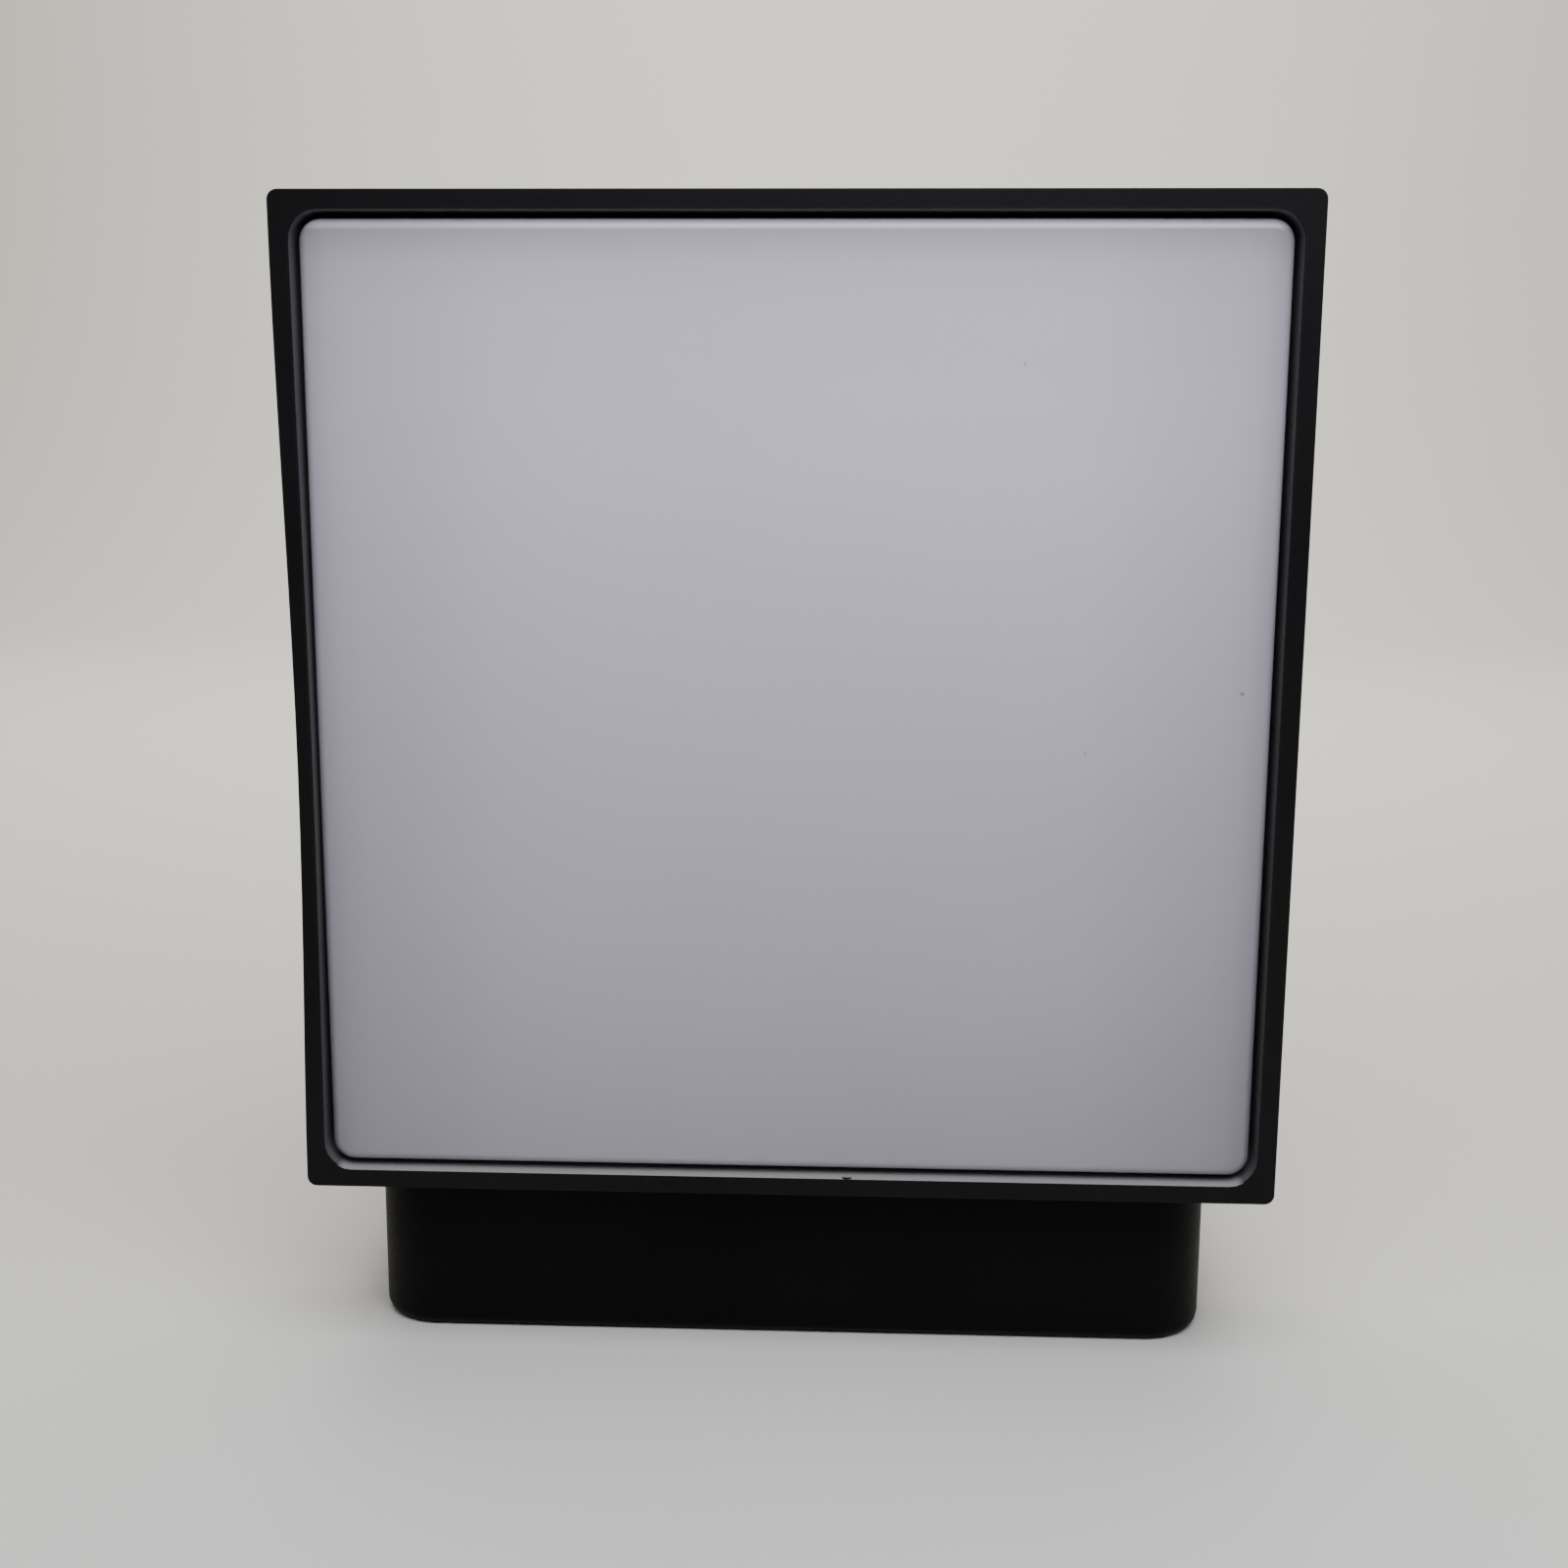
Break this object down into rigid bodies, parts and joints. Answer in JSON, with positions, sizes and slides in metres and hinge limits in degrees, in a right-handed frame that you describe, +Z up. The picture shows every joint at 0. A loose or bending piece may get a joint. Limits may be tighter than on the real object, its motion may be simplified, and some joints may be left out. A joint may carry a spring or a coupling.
{
  "type": "solar garden light",
  "caption": "Solar garden light with a square opal-faced light head that tilts on a hollow pivot above a low rounded battery base.",
  "frame": {"origin": "centre of the base's underside", "axes": "+Z up from the mounting face, +X to the right of the light face, light face towards -Y"},
  "size_m": [0.12, 0.08, 0.1426],
  "materials": {
    "head_plastic": "fine moulded texture",
    "base_plastic": "fine moulded texture",
    "opal": "milky, smooth",
    "white_plastic": "smooth",
    "seal": "foam",
    "white_board": "solder resist",
    "green_board": "solder resist",
    "phosphor": "LED phosphor",
    "connector": "moulded nylon",
    "components": "moulded epoxy",
    "steel": "stainless",
    "pivot_metal": "drawn tube",
    "spring_steel": "nickel plated",
    "lead": "silicone insulation",
    "cell_sleeve": "shrink sleeve",
    "panel_board": "laminate",
    "silicon": "solar cell",
    "clear": "clear, smooth",
    "button_rubber": "silicone"
  },
  "bodies": {
    "base": {"base_shell": "base_plastic", "base_plate": "base_plastic", "base_seal": "seal", "plate_screws": "steel", "battery_holder": "components", "battery_cells": "cell_sleeve", "battery_contacts": "spring_steel", "controller_board": "green_board", "board_parts": "components", "board_screws": "steel", "tact_switch": "components", "base_leads": "lead"},
    "head": {"head_frame": "head_plastic", "diffuser": "opal", "lens_seal": "seal", "reflector_tray": "white_plastic", "led_board": "white_board", "leds": "phosphor", "led_connector": "connector", "back_cover": "head_plastic", "cover_seal": "seal", "cover_screws": "steel", "panel_substrate": "panel_board", "solar_cells": "silicon", "panel_glass": "clear", "pivot_tube": "pivot_metal", "pivot_washers": "seal", "pivot_caps": "head_plastic", "head_leads": "lead"},
    "button": {"mode_button": "button_rubber", "switch_plunger": "connector"}
  },
  "joints": [
    {"name": "head_tilt", "type": "hinge", "parent": "base", "child": "head", "pos_m": [0, -0.005, 0.032], "axis": [-1, 0, 0], "range_deg": [0, 90]},
    {"name": "button_press", "type": "slide", "parent": "base", "child": "button", "axis": [-1, 0, 0], "range_m": [0, 0.0006], "stiffness_N_per_m": 1500, "springref_m": -0.0004}
  ]
}
